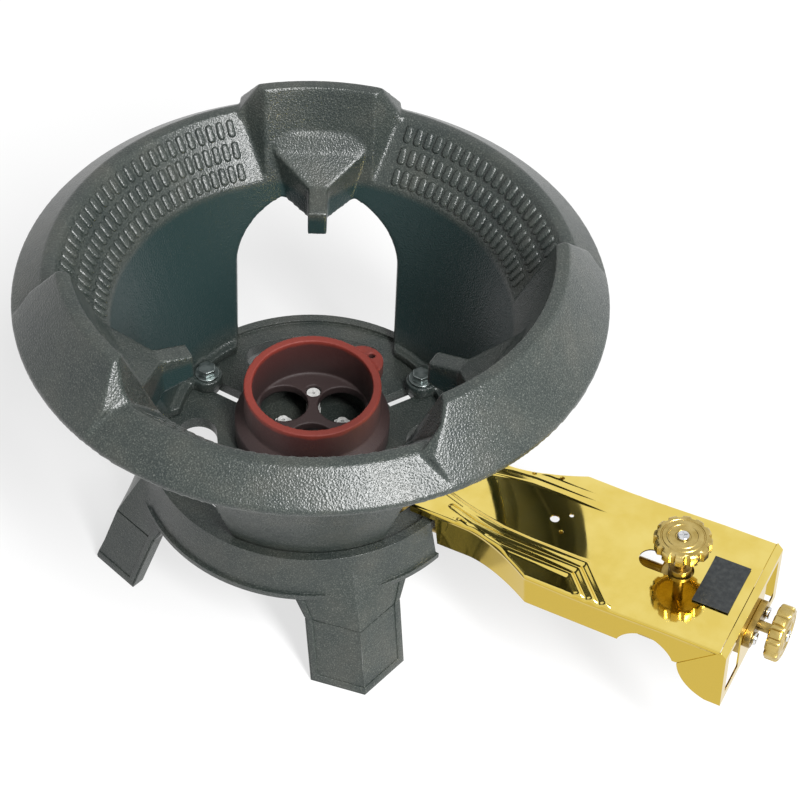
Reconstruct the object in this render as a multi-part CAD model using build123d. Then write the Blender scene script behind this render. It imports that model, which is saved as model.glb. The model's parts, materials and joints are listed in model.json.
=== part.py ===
from build123d import *
import math
import os

# High pressure gas burner: a cast-iron pot ring bolted on a four-legged base, a red burner cup
# over a gas manifold, and a valve arm under a pressed sheet cover. Millimetres, +Z up.
# Everything is drawn about the burner axis, with +X along the valve arm, and moved at the end
# so that the origin is under the middle of the whole part.

# Heights of the base casting
plate_top = 84.0
plate_thickness = 8.0
skirt_bottom = 57.0
rim_rise = 2.0

# Radii of the base casting
plate_hole_radius = 40.0
rim_width = 5.5
skirt_flare = 5.0
skirt_wall = 7.0
bead_width = 2.0
bead_height = 4.0

# Openings in the base plate
kidney_radius = 70.0
kidney_width = 24.0
kidney_half_angle = 27.0
slot_radius = 62.0
slot_length = 19.0
slot_width = 9.0
notch_half_width = 25.0
notch_depth = 15.0
notch_roof = 4.0

# Legs, V-shaped in section
leg_count = 4
foot_radius = 139.0
foot_half_width = 29.0
foot_fold = 18.0
knee_height = 42.0
knee_inset = 16.0
hip_inset = 1.0
hip_half_width = 42.0
hip_fold = 9.0
leg_wall = 8.0

# Pot ring casting, heights above the plate
ring_radius = 165.0
ring_edge_rise = 123.0
ring_lip = 4.0
ridge_radius = 147.0
ridge_rise = 140.5
ridge_land = 6.0
throat_radius = 114.0
throat_rise = 106.0
wall_foot_radius = 86.0
ring_wall = 7.5
rim_clearance = 1.0
foot_flange_width = 11.5
foot_flange_height = 6.0

# Raised blocks and pot rests of the ring, under each block a window
block_count = 3
block_rise = 160.0
block_land = 7.0
block_top_radius = 138.5
block_half_top = 37.0
block_half_foot = 49.0
block_reach = 20.0
block_face_half = 33.0
block_side_spread = 12.0
long_block_half_top = 69.0
long_block_half_foot = 90.0
long_block_face_half = 65.0
block_side_depth = 9.3
window_half_width = 50.0
window_spring_rise = 56.0
window_arch = 42.0
rest_back_radius = 123.0
rest_back_rise = 136.0
rest_root_radius = 115.0
rest_root_half = 27.0
rest_root_rise = 124.0
rest_root_height = 30.0
rest_neck_radius = 96.0
rest_neck_rise = 112.5
rest_neck_height = 24.5
rest_tip_radius = 77.0
rest_tip_rise = 108.0
rest_tip_height = 16.0
rest_half = 5.75
rest_inset = 1.0

# Ring bolts
ring_bolt_circle = 77.0
ring_bolt_radius = 3.0
ring_bolt_hole = 3.4
lug_radius = 9.5
lug_height = 8.0
washer_radius = 7.5
washer_height = 1.5
ring_head_flats = 10.0
ring_head_height = 4.5
ring_nut_height = 5.0
ring_bolt_stickout = 3.0

# Burner cup, heights above the plate
cup_skirt_radius = 47.0
cup_skirt_height = 15.0
cup_skirt_wall = 8.0
cup_radius = 41.0
cup_height = 42.0
cup_wall = 5.0
cup_floor_radius = 36.0
cup_floor_rise = 14.0
cup_floor_thickness = 6.0
cup_shoulder = 6.0
port_circle = 20.3
port_radius = 14.5
pilot_offset = 21.0
pilot_angle = 120.0
pilot_port_radius = 4.7
ear_angle = 68.0
ear_radius = 13.0
ear_reach = 9.0
ear_drop = 2.0
ear_height = 10.0
ear_hole_radius = 2.0
ear_hole_inset = 5.5

# Bolts that hold the cup and the manifold
cup_bolt_circle = 43.0
cup_bolt_radius = 2.0
cup_bolt_hole = 2.25
cup_bolt_engagement = 9.0
cup_head_flats = 7.0
cup_head_height = 3.0

# Gas manifold, measured down from the underside of the plate
manifold_radius = 27.0
manifold_height = 28.0
manifold_flange_radius = 41.5
manifold_flange_height = 5.0
manifold_lug_radius = 7.0
manifold_lug_height = 8.0
inlet_face = 34.0
inlet_half_width = 24.0
inlet_top_drop = 6.0
chamber_radius = 23.5
chamber_drop = 8.0
chamber_height = 8.0
chamber_pillar = 5.5
main_drill = 4.0
pilot_drill = 1.5

# Jets
jet_circle = 21.0
jet_flats = 10.0
jet_hex_height = 4.0
jet_radius = 3.5
jet_height = 6.5
jet_thread_radius = 3.0
jet_thread_length = 6.0
jet_bore = 1.0
pilot_flats = 9.0
pilot_jet_radius = 4.2
pilot_jet_height = 20.0

# Valve arm: its slope, and the height of the cover's top surface where it meets the burner axis
arm_slope = 6.5
arm_rise = 0.3

# Gas pipes, drops below the cover's top surface
pipe_socket_depth = 10.0
pipe_gap = 0.1
main_pipe_radius = 6.0
main_pipe_bore = 4.0
main_pipe_side = -12.0
main_pipe_drop = 25.0
pilot_pipe_radius = 4.0
pilot_pipe_bore = 2.5
pilot_pipe_drop = 30.0

# Valve body
body_start = 228.0
body_length = 34.0
body_half_width = 24.0
body_top_drop = 14.0
body_bottom_drop = 38.0
end_boss_half_width = 16.0
end_boss_half_height = 10.0
top_boss_radius = 10.0
top_boss_drop = 3.0
top_valve_place = 241.0
end_axis_drop = 21.0
inlet_place = 249.0
inlet_drop = 21.0
inlet_bore = 3.0
cross_drill = 2.0
feed_drill = 1.5

# Needle valves, measured along the stem from the face of the boss
packing_bore = 4.85
packing_depth = 9.0
packing_length = 3.0
needle_bore = 3.6
seat_depth = 22.0
seat_radius = 1.5
seat_length = 8.0
stem_radius = 3.0
stem_clearance = 0.05
stem_inset = 11.0
needle_radius = 3.5
needle_gap = 0.2
needle_length = 8.3
needle_tip_radius = 0.4
needle_cone_radius = 1.9
needle_cone_length = 7.5
pin_radius = 1.2
pin_length = 5.0
pin_end_gap = 1.0
fit_clearance = 0.05

# Packing nut at the top, gland plate at the end
nut_radius = 6.5
nut_height = 7.0
gland_half_length = 16.0
gland_half_width = 7.0
gland_thickness = 4.0
gland_screw_spacing = 20.0
gland_screw_radius = 2.0
gland_screw_depth = 8.0
gland_head_radius = 3.6
gland_head_height = 2.6

# Knobs
knob_radius = 16.0
knob_height = 8.5
top_knob_gap = 23.2
end_knob_gap = 13.0
flute_count = 12
flute_radius = 2.4
flute_depth = 1.4
knob_hollow_radius = 12.0
knob_hollow_depth = 4.0
hub_radius = 6.0
stem_seat = 5.5
disc_radius = 12.0
disc_thickness = 0.8
knob_edge = 1.2
knob_screw_radius = 1.5
knob_screw_length = 7.0
knob_head_radius = 3.4
knob_head_height = 1.8

# Hose barb on the far side of the valve
barb_thread_radius = 4.8
barb_thread_length = 10.0
seal_radius = 7.5
seal_thickness = 1.5
barb_flats = 17.0
barb_hex_height = 7.0
barb_radius = 4.0
barb_ridge_radius = 4.75
barb_ridges = 4
barb_pitch = 6.0
barb_bore = 2.5

# Cover, along the arm and down from its top surface
sheet = 1.0
neck_start = 84.0
neck_half_width = 27.5
neck_end = 124.0
box_start = 165.0
box_half_width = 43.0
cover_end = 285.5
bevel = 4.0
tongue_depth = 3.5
wall_start = 102.0
wall_depth = 24.0
arch_place = 240.0
arch_half_span = 18.0
arch_drop = 10.0
slot_start = 217.0
slot_half_width = 7.0
slot_end = 249.0
rib_count = 3
rib_width = 1.6
rib_height = 0.8
rib_pitch = 6.0
rib_start = 122.0
rib_neck_side = 9.0
rib_turn_place = 194.0
rib_turn_side = 19.0
rib_turn_step = 5.0
rib_bend_place = 160.0
rib_edge_margin = 2.0
vent_place = 162.5
vent_radius = 2.75
vent_pair_place = 170.0
vent_pair_side = 7.0
vent_pair_radius = 1.4
edge_vent_places = (137.0, 153.0)
edge_vent_inset = 6.0
edge_vent_radius = 2.0

# End plate of the cover
foot_depth = 46.0
foot_toe = 276.5
foot_heel_drop = 37.0
seam_gap = 0.4
frame_width = 6.0
frame_top = 8.0
strap_half_width = 18.0
strap_hole_clearance = 0.4

# Label plate
label_place = 265.5
label_half_length = 10.5
label_half_width = 17.5
label_thickness = 0.6
label_tab_length = 4.0
label_tab_inset = 1.0
tab_clearance = 0.3

# Heights and radii that follow from the sizes above
plate_bottom = plate_top - plate_thickness
wall_foot_outer = wall_foot_radius + ring_wall
rim_inner = wall_foot_outer + rim_clearance
rim_outer = rim_inner + rim_width
skirt_radius = rim_outer + skirt_flare
ring_edge = plate_top + ring_edge_rise
ridge_top = plate_top + ridge_rise
throat_height = plate_top + throat_rise
block_top = plate_top + block_rise
manifold_bottom = plate_bottom - manifold_height
pilot_pipe_side = pilot_offset * math.sin(math.radians(pilot_angle))
knob_top_gap = {"top": top_knob_gap, "end": end_knob_gap}

block_angles = [360.0 / block_count * index for index in range(block_count)]
wall_angles = [angle + 180.0 / block_count for angle in block_angles]
leg_angles = [360.0 / leg_count * (index + 0.5) for index in range(leg_count)]
port_angles = wall_angles

# Places: the arm's frame has its origin on the burner axis in the cover's top surface
arm_place = Location((0, 0, plate_top + arm_rise), (0, -arm_slope, 0))
top_valve = Location((top_valve_place, 0, -top_boss_drop))
end_valve = Location((cover_end - sheet, 0, -end_axis_drop), (0, 90, 0))
valve_places = {"top": top_valve, "end": end_valve}


# Helpers
def rod(radius, low, high, x=0.0, y=0.0):
    return Pos(x, y, low) * extrude(Circle(radius), high - low)


def hexagon(flats, low, high, x=0.0, y=0.0):
    return Pos(x, y, low) * extrude(RegularPolygon(flats / math.sqrt(3), 6), high - low)


def brick(x_range, y_range, z_range):
    size = [high - low for low, high in (x_range, y_range, z_range)]
    middle = [(high + low) / 2 for low, high in (x_range, y_range, z_range)]
    return Pos(*middle) * Box(*size)


def outline(points):
    return make_face(Polyline(*points, close=True))


def turned(points, arc=360.0):
    solid = revolve(Plane.XZ * outline(points), Axis.Z, arc)
    return Rot(0, 0, -arc / 2) * solid


def drill(start, end, radius):
    direction = Vector(*end) - Vector(*start)
    plane = Plane(origin=start, z_dir=direction)
    return plane * extrude(Circle(radius), direction.length)


def around(shape, angles):
    return [Rot(0, 0, angle) * shape for angle in angles]


def polar(radius, angle):
    radians = math.radians(angle)
    return radius * math.cos(radians), radius * math.sin(radians)


def meeting(point, direction, other, other_direction):
    # Where two lines in the section plane cross
    cross = direction[0] * other_direction[1] - direction[1] * other_direction[0]
    gap = (other[0] - point[0], other[1] - point[1])
    share = (gap[0] * other_direction[1] - gap[1] * other_direction[0]) / cross
    return point[0] + share * direction[0], point[1] + share * direction[1]


def shifted(start, end, distance):
    # The line through two points, moved sideways to the right of its direction
    run = (end[0] - start[0], end[1] - start[1])
    length = math.hypot(*run)
    side = (run[1] / length * distance, -run[0] / length * distance)
    return (start[0] + side[0], start[1] + side[1]), run


# Pot ring
def ring_section():
    foot = (wall_foot_radius, plate_top)
    throat = (throat_radius, throat_height)
    land = (ridge_radius - ridge_land, ridge_top)
    ridge = (ridge_radius, ridge_top)
    lip_top = (ring_radius, ring_edge + ring_lip)
    lip_bottom = (ring_radius, ring_edge)
    wall_back, wall_run = shifted(foot, throat, ring_wall)
    cone_back, cone_run = shifted(throat, land, ring_wall)
    band_back, band_run = shifted(ridge, lip_top, ring_wall)
    level = (1.0, 0.0)
    back = [
        meeting(band_back, band_run, lip_bottom, level),
        meeting(band_back, band_run, cone_back, cone_run),
        meeting(cone_back, cone_run, wall_back, wall_run),
        meeting(wall_back, wall_run, foot, level),
    ]
    return [foot, throat, land, ridge, lip_top, lip_bottom] + back


def ring_block(half_top, half_foot, face_half):
    back = ring_section()[7:9]
    section = [
        (throat_radius, throat_height),
        (block_top_radius - block_land, block_top),
        (block_top_radius, block_top),
        (ring_radius, ring_edge + ring_lip),
        (ring_radius, ring_edge),
    ]
    sweep = 2 * math.degrees(math.asin(half_foot / throat_radius))
    ends = outline([
        (-half_foot, throat_height - block_reach),
        (half_foot, throat_height - block_reach),
        (half_foot, ridge_top),
        (half_top, block_top),
        (-half_top, block_top),
        (-half_foot, ridge_top),
    ])
    block = turned(section + back, sweep) & extrude(Plane.YZ * ends, ring_radius)
    return block & block_sides(half_foot, face_half)


def block_sides(half_foot, face_half):
    face_radius = block_top_radius - block_land
    face = math.sqrt(face_radius ** 2 - face_half ** 2)
    back = face + block_side_depth
    half = face_half + block_side_spread
    side = [(0, face_half), (face, face_half), (back, half), (back, half_foot),
            (2 * ring_radius, half_foot)]
    plan = outline(side + [(x, -y) for x, y in reversed(side)])
    fall = (throat_radius - face_radius, 0, throat_height - block_top)
    return extrude(Pos(0, 0, block_top) * plan, block_rise, dir=fall)


def ring_window():
    spring = plate_top + window_spring_rise
    arch = Pos(0, spring) * Ellipse(window_half_width, window_arch)
    gate = Pos(0, spring / 2) * Rectangle(2 * window_half_width, spring)
    return extrude(Plane.YZ * (arch + gate), throat_radius + ring_wall)


def pot_rest():
    tip = (rest_tip_radius, plate_top + rest_tip_rise)
    neck = (rest_neck_radius, plate_top + rest_neck_rise)
    root = (rest_root_radius, plate_top + rest_root_rise)
    back = (rest_back_radius, plate_top + rest_back_rise)
    root_low = (root[0], root[1] - rest_root_height)
    side = outline([
        tip,
        neck,
        root,
        root_low,
        (neck[0], neck[1] - rest_neck_height),
        (tip[0], tip[1] - rest_tip_height),
    ])
    side += outline([root, back, (back[0], throat_height), root_low])
    half_plan = [(tip[0], rest_half), (neck[0], rest_half)]
    half_plan += [(root[0], rest_root_half), (ring_radius, rest_root_half)]
    plan = outline(half_plan + [(x, -y) for x, y in reversed(half_plan)])
    slab = extrude(Plane.XZ * side, rest_root_half, both=True)
    wall_line = [(radius - rest_inset, height) for radius, height in reversed(ring_section()[7:])]
    envelope = turned([(0, plate_top)] + wall_line + [(0, wall_line[-1][1])])
    return slab & extrude(plan, block_top) & envelope


def pot_ring():
    flange_inner = wall_foot_outer - foot_flange_width
    flange = [
        (flange_inner, plate_top),
        (wall_foot_outer, plate_top),
        (wall_foot_outer, plate_top + foot_flange_height),
        (flange_inner, plate_top + foot_flange_height),
    ]
    lug_top = plate_top + lug_height
    lug = rod(lug_radius, plate_top, lug_top, ring_bolt_circle)
    lug += brick((ring_bolt_circle, wall_foot_radius), (-lug_radius, lug_radius), (plate_top, lug_top))
    lug -= rod(ring_bolt_hole, plate_top, lug_top, ring_bolt_circle)
    casting = turned(ring_section()) + turned(flange)
    casting += around(lug, wall_angles)
    casting += around(ring_block(block_half_top, block_half_foot, block_face_half), block_angles[1:])
    casting += ring_block(long_block_half_top, long_block_half_foot, long_block_face_half)
    casting -= around(ring_window(), block_angles)
    casting += around(pot_rest(), block_angles)
    return casting


# Base
def leg_section(ridge, fold, half_width, height):
    length = math.hypot(fold, half_width)
    inner_ridge = ridge - leg_wall * length / half_width
    edge = ridge - fold
    back = edge - leg_wall * half_width / length
    back_half = half_width - leg_wall * fold / length
    points = [(ridge, 0), (edge, half_width), (back, back_half),
              (inner_ridge, 0), (back, -back_half), (edge, -half_width)]
    return Pos(0, 0, height) * outline(points)


def leg():
    hip_height = plate_top - plate_thickness / 2
    sections = [
        leg_section(foot_radius, foot_fold, foot_half_width, 0),
        leg_section(foot_radius - knee_inset, foot_fold, foot_half_width, knee_height),
        leg_section(rim_outer - hip_inset, hip_fold, hip_half_width, hip_height),
    ]
    return loft(sections[:2], ruled=True) + loft(sections[1:], ruled=True)


def base():
    section = [
        (plate_hole_radius, plate_top),
        (rim_inner, plate_top),
        (rim_inner, plate_top + rim_rise),
        (rim_outer, plate_top + rim_rise),
        (skirt_radius, skirt_bottom + bead_height),
        (skirt_radius + bead_width, skirt_bottom + bead_height),
        (skirt_radius + bead_width, skirt_bottom),
        (skirt_radius - skirt_wall, skirt_bottom),
        (rim_outer - skirt_wall, plate_bottom),
        (plate_hole_radius, plate_bottom),
    ]
    casting = turned(section)
    casting += around(leg(), leg_angles)
    inside = [
        (0, skirt_bottom),
        (skirt_radius - skirt_wall, skirt_bottom),
        (rim_outer - skirt_wall, plate_bottom),
        (0, plate_bottom),
    ]
    casting -= turned(inside)
    arc = CenterArc((0, 0), kidney_radius, -kidney_half_angle, 2 * kidney_half_angle)
    kidney = extrude(SlotArc(arc, kidney_width), plate_top)
    slot = extrude(Pos(slot_radius, 0) * Rectangle(slot_length, slot_width), plate_top)
    casting -= around(kidney, block_angles)
    casting -= around(slot, wall_angles)
    casting -= around(rod(ring_bolt_hole, 0, plate_top, ring_bolt_circle), wall_angles)
    casting -= around(rod(cup_bolt_hole, 0, plate_top, cup_bolt_circle), port_angles)
    notch_start = rim_outer - notch_depth
    notch_end = skirt_radius + bead_width
    casting -= brick((notch_start, notch_end), (-notch_half_width, notch_half_width),
                     (0, plate_top - notch_roof))
    return casting


# Ring fasteners
def ring_bolts():
    head_low = plate_top + lug_height + washer_height
    shank_low = plate_bottom - ring_nut_height - ring_bolt_stickout
    bolt = rod(ring_bolt_radius, shank_low, head_low, ring_bolt_circle)
    bolt += hexagon(ring_head_flats, head_low, head_low + ring_head_height, ring_bolt_circle)
    return around(bolt, wall_angles)


def ring_washers():
    low = plate_top + lug_height
    washer = rod(washer_radius, low, low + washer_height, ring_bolt_circle)
    washer -= rod(ring_bolt_hole, low, low + washer_height, ring_bolt_circle)
    return around(washer, wall_angles)


def ring_nuts():
    low = plate_bottom - ring_nut_height
    nut = hexagon(ring_head_flats, low, plate_bottom, ring_bolt_circle)
    nut -= rod(ring_bolt_radius + fit_clearance, low, plate_bottom, ring_bolt_circle)
    return around(nut, wall_angles)


# Burner cup
def burner_cup():
    skirt_top = plate_top + cup_skirt_height
    floor_top = plate_top + cup_floor_rise
    floor_bottom = floor_top - cup_floor_thickness
    cup_top = plate_top + cup_height
    skirt_inner = cup_skirt_radius - cup_skirt_wall
    section = [
        (skirt_inner, plate_top),
        (cup_skirt_radius, plate_top),
        (cup_skirt_radius, skirt_top),
        (cup_radius, skirt_top + cup_shoulder),
        (cup_radius, cup_top),
        (cup_radius - cup_wall, cup_top),
        (cup_floor_radius, floor_top),
        (0, floor_top),
        (0, floor_bottom),
        (skirt_inner, floor_bottom),
    ]
    cup = turned(section)
    ear_top = cup_top - ear_drop
    ear_end = cup_radius + ear_reach
    ear = rod(ear_radius, ear_top - ear_height, ear_top, ear_end - ear_radius)
    ear -= rod(cup_radius - cup_wall / 2, 0, cup_top)
    ear -= rod(ear_hole_radius, 0, cup_top, ear_end - ear_hole_inset)
    cup += Rot(0, 0, ear_angle) * ear
    cup -= around(rod(port_radius, plate_top, floor_top, port_circle), port_angles)
    cup -= Rot(0, 0, pilot_angle) * rod(pilot_port_radius, plate_top, floor_top, pilot_offset)
    thread_top = plate_top + cup_bolt_engagement + pin_end_gap
    cup -= around(rod(cup_bolt_radius + fit_clearance, plate_top, thread_top, cup_bolt_circle), port_angles)
    return cup


def cup_bolts():
    lug_bottom = plate_bottom - manifold_lug_height
    bolt = rod(cup_bolt_radius, lug_bottom, plate_top + cup_bolt_engagement, cup_bolt_circle)
    bolt += hexagon(cup_head_flats, lug_bottom - cup_head_height, lug_bottom, cup_bolt_circle)
    return around(bolt, port_angles)


# Manifold and jets
def pipe_axis(place, side, drop):
    return place, side, -drop


def manifold():
    body = rod(manifold_radius, manifold_bottom, plate_bottom)
    body += rod(manifold_flange_radius, plate_bottom - manifold_flange_height, plate_bottom)
    body += brick((0, inlet_face), (-inlet_half_width, inlet_half_width),
                  (manifold_bottom, plate_bottom - inlet_top_drop))
    lug_bottom = plate_bottom - manifold_lug_height
    lug = rod(manifold_lug_radius, lug_bottom, plate_bottom, cup_bolt_circle)
    lug_sides = (-manifold_lug_radius, manifold_lug_radius)
    lug += brick((0, cup_bolt_circle), lug_sides, (lug_bottom, plate_bottom))
    body += around(lug, port_angles)
    body -= around(rod(cup_bolt_hole, lug_bottom, plate_bottom, cup_bolt_circle), port_angles)
    pilot_x, pilot_y = polar(pilot_offset, pilot_angle)
    chamber_top = plate_bottom - chamber_drop
    chamber = rod(chamber_radius, chamber_top - chamber_height, chamber_top)
    body -= chamber - rod(chamber_pillar, manifold_bottom, plate_bottom, pilot_x, pilot_y)
    thread_low = plate_bottom - jet_thread_length
    thread = rod(jet_thread_radius + fit_clearance, thread_low, plate_bottom, jet_circle)
    thread += rod(jet_thread_radius / 2, chamber_top - chamber_height / 2, plate_bottom, jet_circle)
    body -= around(thread, port_angles)
    body -= rod(jet_thread_radius / 2 + fit_clearance, thread_low, plate_bottom, pilot_x, pilot_y)
    socket_end = inlet_face - pipe_socket_depth
    pilot_low = plate_top + arm_rise - pilot_pipe_drop
    body -= rod(pilot_drill / 2, pilot_low, plate_bottom, pilot_x, pilot_y)
    reach = inlet_face + manifold_radius
    tools = drill(pipe_axis(socket_end, main_pipe_side, main_pipe_drop),
                  pipe_axis(reach, main_pipe_side, main_pipe_drop), main_pipe_radius + fit_clearance)
    tools += drill(pipe_axis(0, main_pipe_side, main_pipe_drop),
                   pipe_axis(socket_end, main_pipe_side, main_pipe_drop), main_drill)
    tools += drill(pipe_axis(socket_end, pilot_pipe_side, pilot_pipe_drop),
                   pipe_axis(reach, pilot_pipe_side, pilot_pipe_drop), pilot_pipe_radius + fit_clearance)
    tools += drill(pipe_axis(pilot_x, pilot_pipe_side, pilot_pipe_drop),
                   pipe_axis(socket_end, pilot_pipe_side, pilot_pipe_drop), pilot_drill)
    return body - arm_place * tools


def jet(flats, radius, height, thread, x, y):
    low = plate_bottom - jet_thread_length
    top = plate_bottom + height
    shape = hexagon(flats, plate_bottom, plate_bottom + jet_hex_height, x, y)
    shape += rod(radius, plate_bottom, top, x, y)
    shape += rod(thread, low, plate_bottom, x, y)
    return shape - rod(jet_bore, low, top, x, y)


def main_jets():
    one = jet(jet_flats, jet_radius, jet_height, jet_thread_radius, jet_circle, 0)
    return around(one, port_angles)


def pilot_jet():
    pilot_x, pilot_y = polar(pilot_offset, pilot_angle)
    return jet(pilot_flats, pilot_jet_radius, pilot_jet_height, jet_thread_radius / 2, pilot_x, pilot_y)


# Gas pipes, straight along the arm
def gas_pipe(radius, bore, side, drop):
    start = pipe_axis(inlet_face - pipe_socket_depth + pipe_gap, side, drop)
    end = pipe_axis(body_start + pipe_socket_depth - pipe_gap, side, drop)
    return drill(start, end, radius) - drill(start, end, bore)


# Valve body
def needle_cavity():
    cavity = rod(packing_bore, -packing_depth, 0)
    cavity += rod(needle_bore, -seat_depth, 0)
    return cavity + rod(seat_radius, -seat_depth - seat_length, -seat_depth)


def valve_body():
    end_face = cover_end - sheet
    body_end = body_start + body_length
    body = brick((body_start, body_end), (-body_half_width, body_half_width),
                 (-body_bottom_drop, -body_top_drop))
    body += brick((body_start, end_face), (-end_boss_half_width, end_boss_half_width),
                  (-end_axis_drop - end_boss_half_height, -end_axis_drop + end_boss_half_height))
    body += rod(top_boss_radius, -body_bottom_drop, -top_boss_drop, top_valve_place)
    socket_end = body_start + pipe_socket_depth
    for radius, side, drop in ((main_pipe_radius, main_pipe_side, main_pipe_drop),
                               (pilot_pipe_radius, pilot_pipe_side, pilot_pipe_drop)):
        body -= drill((body_start, side, -drop), (socket_end, side, -drop), radius + fit_clearance)
    for place in valve_places.values():
        body -= place * needle_cavity()
    thread_end = body_half_width - barb_thread_length
    body -= drill((inlet_place, thread_end, -inlet_drop), (inlet_place, body_half_width, -inlet_drop),
                  barb_thread_radius + fit_clearance)
    body -= drill((inlet_place, 0, -inlet_drop), (inlet_place, body_half_width, -inlet_drop), inlet_bore)
    feed_drop = top_boss_drop + seat_depth - seat_radius
    body -= drill((inlet_place, 0, -feed_drop), (top_valve_place, 0, -feed_drop), feed_drill)
    end_seat = end_face - seat_depth
    body -= drill((end_seat, 0, -end_axis_drop), (inlet_place, 0, -end_axis_drop), feed_drill)
    top_outlet = top_boss_drop + seat_depth + seat_length - cross_drill
    main_outlet = (socket_end, main_pipe_side, -main_pipe_drop)
    body -= drill((top_valve_place, 0, -top_outlet), main_outlet, cross_drill)
    body -= drill((end_seat + needle_bore, 0, -end_axis_drop - needle_bore),
                  (socket_end, pilot_pipe_side, -pilot_pipe_drop), feed_drill)
    for side in (-1, 1):
        hole = (end_face, side * gland_screw_spacing / 2, -end_axis_drop)
        depth = (end_face - gland_screw_depth - pin_end_gap, hole[1], hole[2])
        body -= drill(depth, hole, gland_screw_radius + fit_clearance)
    return body


# Parts of one needle valve, along +Z from the face of the boss
def needle():
    top = -stem_inset - needle_gap
    shape = rod(needle_radius, top - needle_length, top)
    shape += rod(pin_radius, top, top + pin_length)
    cone_top = top - needle_length
    cone = [(0, cone_top - needle_cone_length), (needle_tip_radius, cone_top - needle_cone_length),
            (needle_cone_radius, cone_top), (0, cone_top)]
    return shape + turned(cone)


def stem(knob_gap):
    top = knob_gap + stem_seat
    shape = rod(stem_radius, -stem_inset, top)
    shape -= rod(pin_radius + fit_clearance, -stem_inset, -stem_inset + pin_length + pin_end_gap)
    screw_hole = knob_screw_length - (knob_height - stem_seat) + pin_end_gap
    return shape - rod(knob_screw_radius + fit_clearance, top - screw_hole, top)


def packing():
    shape = rod(packing_bore - fit_clearance, -packing_depth, -packing_depth + packing_length)
    return shape - rod(stem_radius + stem_clearance, -packing_depth, -packing_depth + packing_length)


def gland_sleeve(flange_face):
    low = -packing_depth + packing_length
    return rod(packing_bore - fit_clearance, low, flange_face), low


def packing_nut():
    sleeve, low = gland_sleeve(0)
    nut = sleeve + rod(nut_radius, 0, nut_height)
    return nut - rod(stem_radius + stem_clearance, low, nut_height)


def end_gland():
    sleeve, low = gland_sleeve(sheet)
    top = sheet + gland_thickness
    plate = Pos(0, 0, sheet) * extrude(SlotOverall(2 * gland_half_length, 2 * gland_half_width, 90),
                                       gland_thickness)
    gland = sleeve + plate
    gland -= rod(stem_radius + stem_clearance, low, top)
    for side in (-1, 1):
        gland -= rod(gland_screw_radius + fit_clearance, sheet, top, 0, side * gland_screw_spacing / 2)
    return gland


def gland_screws():
    face = sheet + gland_thickness
    screws = []
    for side in (-1, 1):
        y = side * gland_screw_spacing / 2
        screw = rod(gland_screw_radius, -gland_screw_depth, face, 0, y)
        screws.append(screw + rod(gland_head_radius, face, face + gland_head_height, 0, y))
    return screws


def knob(gap):
    top = gap + knob_height
    shape = rod(knob_radius, gap, top)
    rim = shape.edges().filter_by(GeomType.CIRCLE).group_by(Axis.Z)
    shape = chamfer(rim[0] + rim[-1], knob_edge)
    flute_circle = knob_radius + flute_radius - flute_depth
    flute_angles = [360.0 / flute_count * index for index in range(flute_count)]
    shape -= around(rod(flute_radius, gap, top, flute_circle), flute_angles)
    hollow = rod(knob_hollow_radius, gap, gap + knob_hollow_depth)
    shape -= hollow - rod(hub_radius, gap, gap + knob_hollow_depth)
    shape -= rod(stem_radius + fit_clearance, gap, gap + stem_seat)
    shape -= rod(knob_screw_radius + fit_clearance, gap, top)
    return shape - rod(disc_radius + fit_clearance, top - disc_thickness, top)


def knob_disc(gap):
    top = gap + knob_height
    disc = rod(disc_radius, top - disc_thickness, top)
    return disc - rod(knob_screw_radius + fit_clearance, top - disc_thickness, top)


def knob_screw(gap):
    top = gap + knob_height
    screw = rod(knob_screw_radius, top - knob_screw_length, top)
    return screw + rod(knob_head_radius, top, top + knob_head_height)


# Hose barb, along +Z from the side of the valve body
def hose_barb():
    hex_low = seal_thickness
    hex_top = hex_low + barb_hex_height
    section = [(0, -barb_thread_length), (barb_thread_radius, -barb_thread_length),
               (barb_thread_radius, hex_low), (barb_radius, hex_top)]
    for index in range(barb_ridges):
        low = hex_top + barb_pitch * index
        section += [(barb_ridge_radius, low), (barb_radius, low + barb_pitch)]
    section += [(0, hex_top + barb_pitch * barb_ridges)]
    barb = turned(section) + hexagon(barb_flats, hex_low, hex_top)
    return barb - rod(barb_bore, -barb_thread_length, hex_top + barb_pitch * barb_ridges)


def barb_seal():
    return rod(seal_radius, 0, seal_thickness) - rod(barb_thread_radius + fit_clearance, 0, seal_thickness)


# Cover
def cover_plan(inset):
    neck = neck_half_width - inset
    box = box_half_width - inset
    edges = []
    for side in (-1, 1):
        edges.append(Line((neck_start, side * neck), (neck_end, side * neck)))
        edges.append(Spline((neck_end, side * neck), (box_start, side * box), tangents=[(1, 0), (1, 0)]))
        edges.append(Line((box_start, side * box), (cover_end, side * box)))
    edges.append(Line((neck_start, -neck), (neck_start, neck)))
    edges.append(Line((cover_end, -box), (cover_end, box)))
    return make_face(edges)


def cover_side():
    # The cover seen from the side: its lower edge has a tongue, a wall, an arch and a slanting seam
    arch_start = arch_place - arch_half_span
    arch_end = arch_place + arch_half_span
    bevel_start = cover_end - bevel
    lower = [
        Line((bevel_start, rib_height), (neck_start, rib_height)),
        Line((neck_start, rib_height), (neck_start, -tongue_depth)),
        Line((neck_start, -tongue_depth), (wall_start, -tongue_depth)),
        Line((wall_start, -tongue_depth), (wall_start, -wall_depth)),
        Line((wall_start, -wall_depth), (arch_start, -wall_depth)),
        ThreePointArc((arch_start, -wall_depth), (arch_place, -arch_drop), (arch_end, -wall_depth)),
        Line((arch_end, -wall_depth), (bevel_start, -sheet)),
        Line((bevel_start, -sheet), (bevel_start, rib_height)),
    ]
    return extrude(Plane.XZ * make_face(lower), box_half_width, both=True)


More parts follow.
